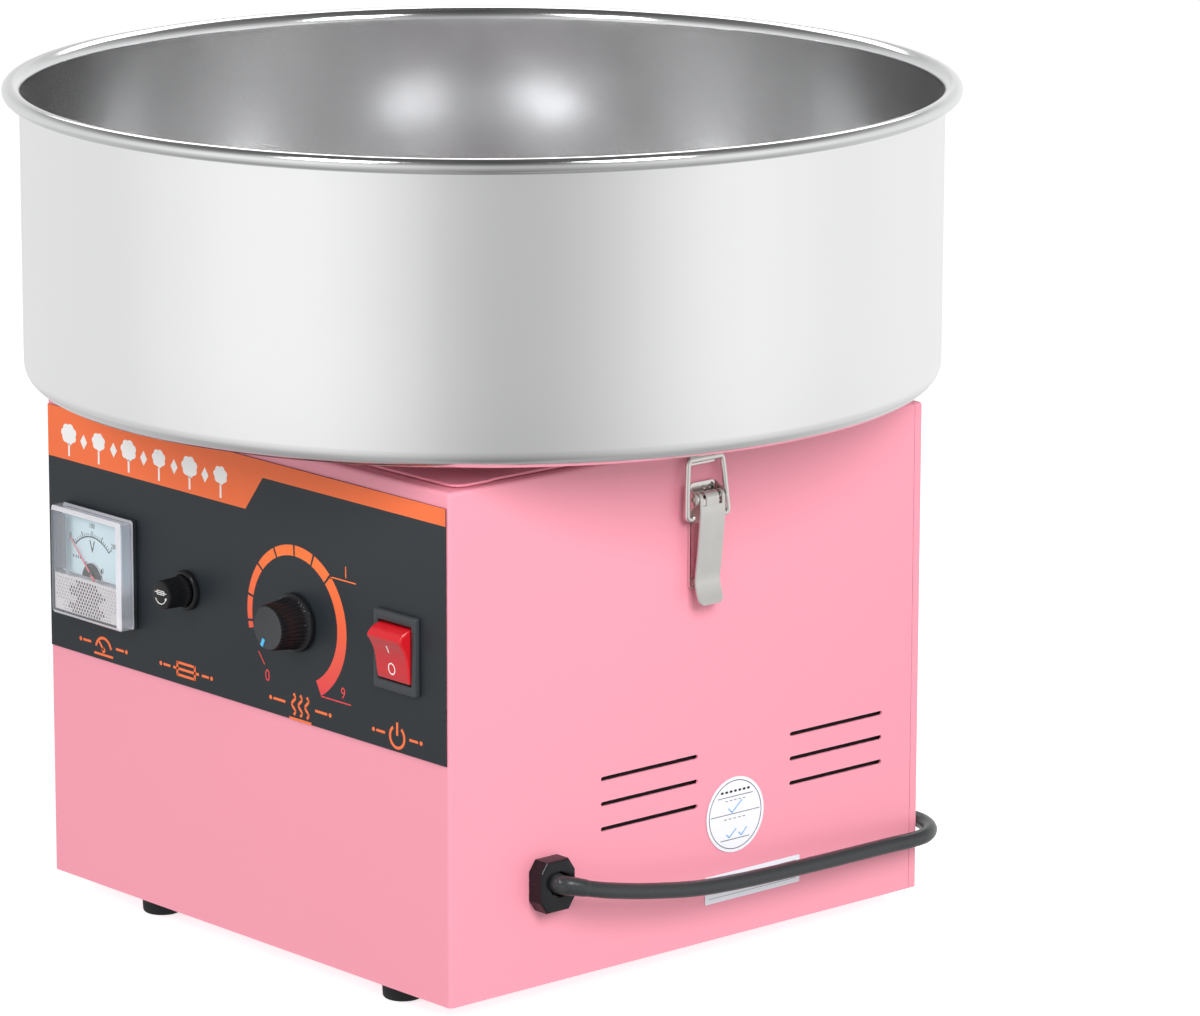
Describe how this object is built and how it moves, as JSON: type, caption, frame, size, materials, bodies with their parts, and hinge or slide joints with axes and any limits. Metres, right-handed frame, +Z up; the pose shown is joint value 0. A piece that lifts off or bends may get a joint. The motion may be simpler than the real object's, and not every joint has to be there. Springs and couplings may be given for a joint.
{
  "type": "cotton candy machine",
  "caption": "Table-top cotton candy machine: lift-off steel bowl round a spinning sugar head, on a boxy sheet-metal body with a control panel and side latches.",
  "frame": {"origin": "on the standing surface, under the axis of the spinning head, which is the middle of the bowl's outline", "axes": "+Z up along the head axis; -Y out of the control panel; +X towards the side that the cord leaves"},
  "size_m": [0.52, 0.5566, 0.4657],
  "materials": {
    "pink_paint": "pink powder coat with a fine satin grain",
    "overlay_film": "dark grey printed film with orange artwork",
    "satin_steel": "satin spun stainless steel",
    "plated_steel": "nickel-plated pressed steel",
    "aluminium": "turned aluminium",
    "brass": "plain brass",
    "black_plastic": "moulded black plastic",
    "red_plastic": "moulded red plastic",
    "clear_plastic": "clear moulded acrylic",
    "white_card": "printed white card or film",
    "needle_red": "red lacquered pointer",
    "rubber": "black rubber",
    "fuse_glass": "clear glass tube with metal end caps",
    "board_green": "green circuit board"
  },
  "bodies": {
    "root": {"housing": "pink_paint", "rear_panel": "pink_paint", "bottom_plate": "pink_paint", "deck_front_strip": "pink_paint", "deck_plate": "pink_paint", "control_overlay": "overlay_film", "latch_base_left": "plated_steel", "latch_base_right": "plated_steel", "latch_pin_left": "plated_steel", "latch_pin_right": "plated_steel", "meter_screw_left": "plated_steel", "meter_screw_right": "plated_steel", "motor_plate": "plated_steel", "motor": "aluminium", "potentiometer": "aluminium", "meter_body": "black_plastic", "fuse_holder": "black_plastic", "fuse_holder_nut": "black_plastic", "switch_body": "black_plastic", "brush_holder": "black_plastic", "terminal_block": "black_plastic", "cord_gland": "black_plastic", "gland_nut": "black_plastic", "meter_cover": "clear_plastic", "meter_dial": "white_card", "round_sticker": "white_card", "rating_label": "white_card", "foot_front_left": "rubber", "foot_front_right": "rubber", "foot_rear_left": "rubber", "foot_rear_right": "rubber", "bowl_seat_ring": "rubber", "motor_mount_1": "rubber", "motor_mount_2": "rubber", "motor_mount_3": "rubber", "motor_mount_4": "rubber", "power_cord": "rubber", "cord_coil": "rubber", "power_plug": "rubber", "control_board": "board_green"},
    "needle": {"meter_needle": "needle_red"},
    "fuse": {"glass_fuse": "fuse_glass"},
    "fuse_cap": {"fuse_cap": "black_plastic"},
    "knob": {"knob": "black_plastic", "pot_shaft": "plated_steel"},
    "rocker": {"rocker": "red_plastic"},
    "bowl": {"bowl": "satin_steel", "bowl_keeper_left": "plated_steel", "bowl_keeper_right": "plated_steel"},
    "spinner": {"head_base": "aluminium", "head_band": "satin_steel", "heater_ring": "brass", "sugar_cup": "aluminium", "head_cover": "aluminium", "drive_shaft": "plated_steel", "slip_ring_hub": "brass"},
    "lever_right": {"latch_lever_right": "plated_steel"},
    "lever_left": {"latch_lever_left": "plated_steel"},
    "bail_right": {"latch_bail_right": "plated_steel"},
    "bail_left": {"latch_bail_left": "plated_steel"}
  },
  "joints": [
    {"name": "head_spin", "type": "hinge", "parent": "root", "child": "spinner", "pos_m": [0, 0, 0.33], "axis": [0, 0, 1], "continuous": true},
    {"name": "bowl_lift", "type": "slide", "parent": "root", "child": "bowl", "axis": [0, 0, 1], "range_m": [0, 0.15]},
    {"name": "lever_right_swing", "type": "hinge", "parent": "root", "child": "lever_right", "pos_m": [0.1778, 0.0045, 0.2625], "axis": [0, -1, 0], "range_deg": [0, 110]},
    {"name": "bail_right_swing", "type": "hinge", "parent": "lever_right", "child": "bail_right", "pos_m": [0.1772, 0.0045, 0.253], "axis": [0, -1, 0], "range_deg": [-143.1, 0]},
    {"name": "lever_left_swing", "type": "hinge", "parent": "root", "child": "lever_left", "pos_m": [-0.1778, 0.0045, 0.2625], "axis": [0, 1, 0], "range_deg": [0, 110]},
    {"name": "bail_left_swing", "type": "hinge", "parent": "lever_left", "child": "bail_left", "pos_m": [-0.1772, 0.0045, 0.253], "axis": [0, 1, 0], "range_deg": [-143.1, 0]},
    {"name": "heat_knob_turn", "type": "hinge", "parent": "root", "child": "knob", "pos_m": [0.0475, -0.1712, 0.1985], "axis": [0, 1, 0], "range_deg": [0, 300]},
    {"name": "switch_rock", "type": "hinge", "parent": "root", "child": "rocker", "pos_m": [0.1315, -0.1697, 0.1985], "axis": [-1, 0, 0], "range_deg": [0, 20]},
    {"name": "fuse_pull", "type": "slide", "parent": "root", "child": "fuse", "axis": [0, -1, 0], "range_m": [0, 0.036]},
    {"name": "fuse_cap_turn", "type": "hinge", "parent": "fuse", "child": "fuse_cap", "pos_m": [-0.046, -0.1712, 0.1985], "axis": [0, -1, 0], "range_deg": [0, 90]},
    {"name": "needle_swing", "type": "hinge", "parent": "root", "child": "needle", "pos_m": [-0.1216, -0.1772, 0.1943], "axis": [0, 1, 0], "range_deg": [0, 90], "stiffness_Nm_per_rad": 0.0002}
  ],
  "couplings": [
    {"joint": "bail_right_swing", "follows": "lever_right_swing", "ratio": -1.3},
    {"joint": "bail_left_swing", "follows": "lever_left_swing", "ratio": -1.3}
  ]
}
